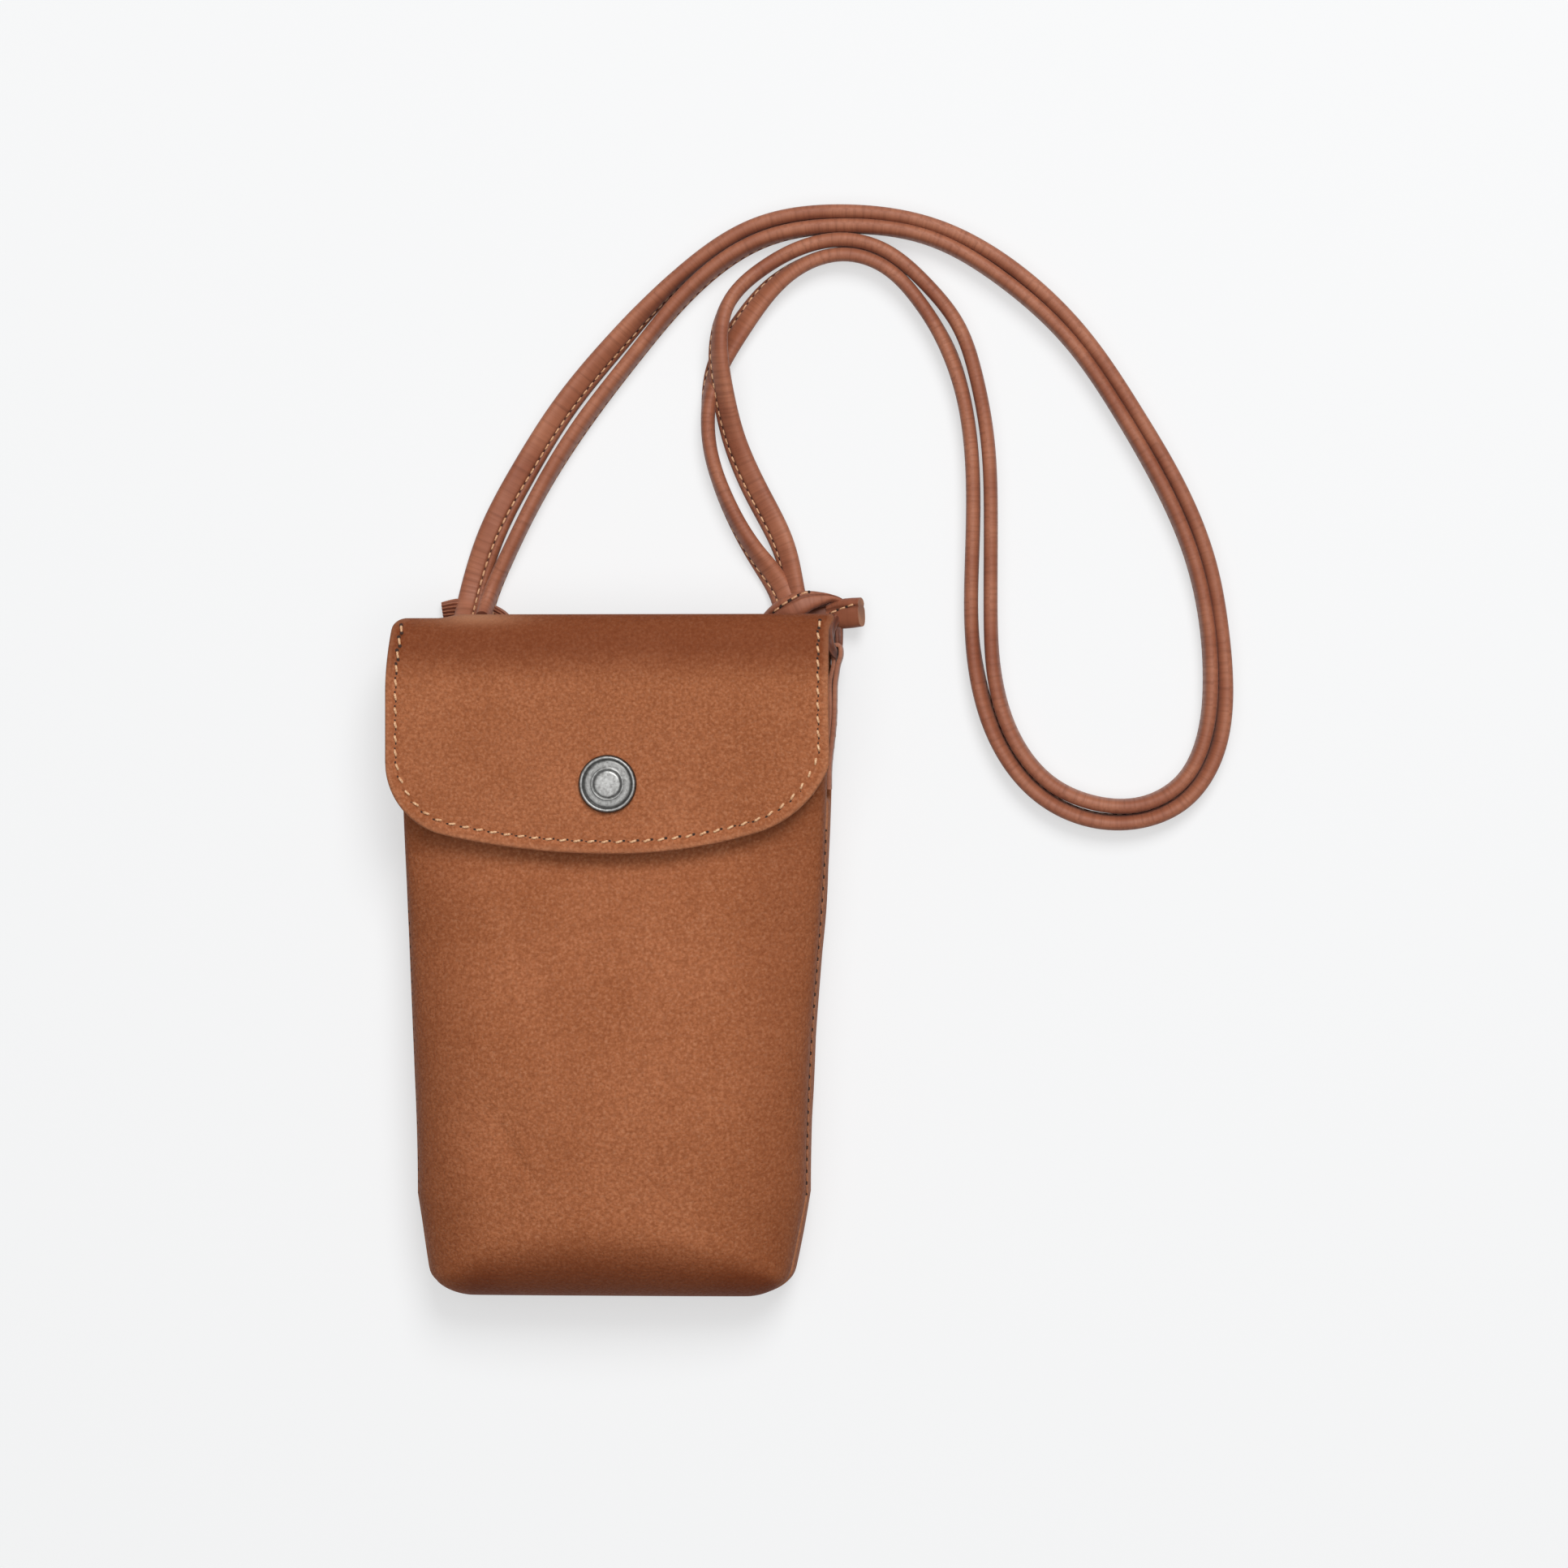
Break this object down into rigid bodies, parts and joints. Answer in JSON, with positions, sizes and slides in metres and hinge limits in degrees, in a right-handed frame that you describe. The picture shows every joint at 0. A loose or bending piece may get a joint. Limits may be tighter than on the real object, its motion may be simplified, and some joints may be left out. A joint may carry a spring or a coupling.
{
  "type": "phone pouch",
  "caption": "Soft leather phone pouch with a snap-closed front flap, gusseted sides, fabric lining and a long folded-leather shoulder lace knotted to side tabs.",
  "frame": {"origin": "middle of the pouch's outline on the surface that it lies on, under its back; the strap is left out of it", "axes": "+X to the right as seen from the front, +Y from the base towards the fold at the top, +Z out of the front; the pouch lies on its back, as it was pictured"},
  "size_m": [0.2207, 0.2834, 0.034],
  "materials": {
    "body_leather": "fine-grained tan leather, satin",
    "strap_leather": "folded and edge-stitched tan leather lace",
    "lining_leather": "thin smooth lining leather, matt",
    "lining_fabric": "plain woven cotton lining",
    "thread": "waxed polyester thread",
    "cap_metal": "antique gunmetal plating on brass",
    "snap_metal": "dull nickel plating on brass",
    "spring_steel": "bright spring wire"
  },
  "bodies": {
    "pouch": {"front_panel": "body_leather", "back_panel": "body_leather", "left_gusset": "body_leather", "right_gusset": "body_leather", "base_panel": "body_leather", "mouth_facing": "lining_leather", "lining_front": "lining_fabric", "lining_back": "lining_fabric", "seam_thread": "thread", "flap_tail": "body_leather", "tail_thread": "thread", "left_tab": "strap_leather", "right_tab": "strap_leather", "tab_thread": "thread", "snap_stud": "snap_metal", "snap_post": "snap_metal", "inner_strand": "strap_leather", "outer_strand": "strap_leather", "left_hitch": "strap_leather", "left_neck": "strap_leather", "right_knot": "strap_leather", "right_neck": "strap_leather"},
    "bridge": {"flap_bridge": "body_leather", "bridge_lining": "lining_leather"},
    "flap": {"flap_leather": "body_leather", "flap_lining": "lining_leather", "flap_thread": "thread", "snap_cap": "cap_metal", "snap_socket": "snap_metal", "snap_spring": "spring_steel"}
  },
  "joints": [
    {"name": "flap_hinge", "type": "hinge", "parent": "pouch", "child": "bridge", "pos_m": [0, 0.0875, 0.01165], "axis": [-1, 0, 0], "range_deg": [0, 80]},
    {"name": "flap_fold", "type": "hinge", "parent": "bridge", "child": "flap", "pos_m": [0, 0.0875, 0.02565], "axis": [-1, 0, 0], "range_deg": [0, 85]}
  ]
}
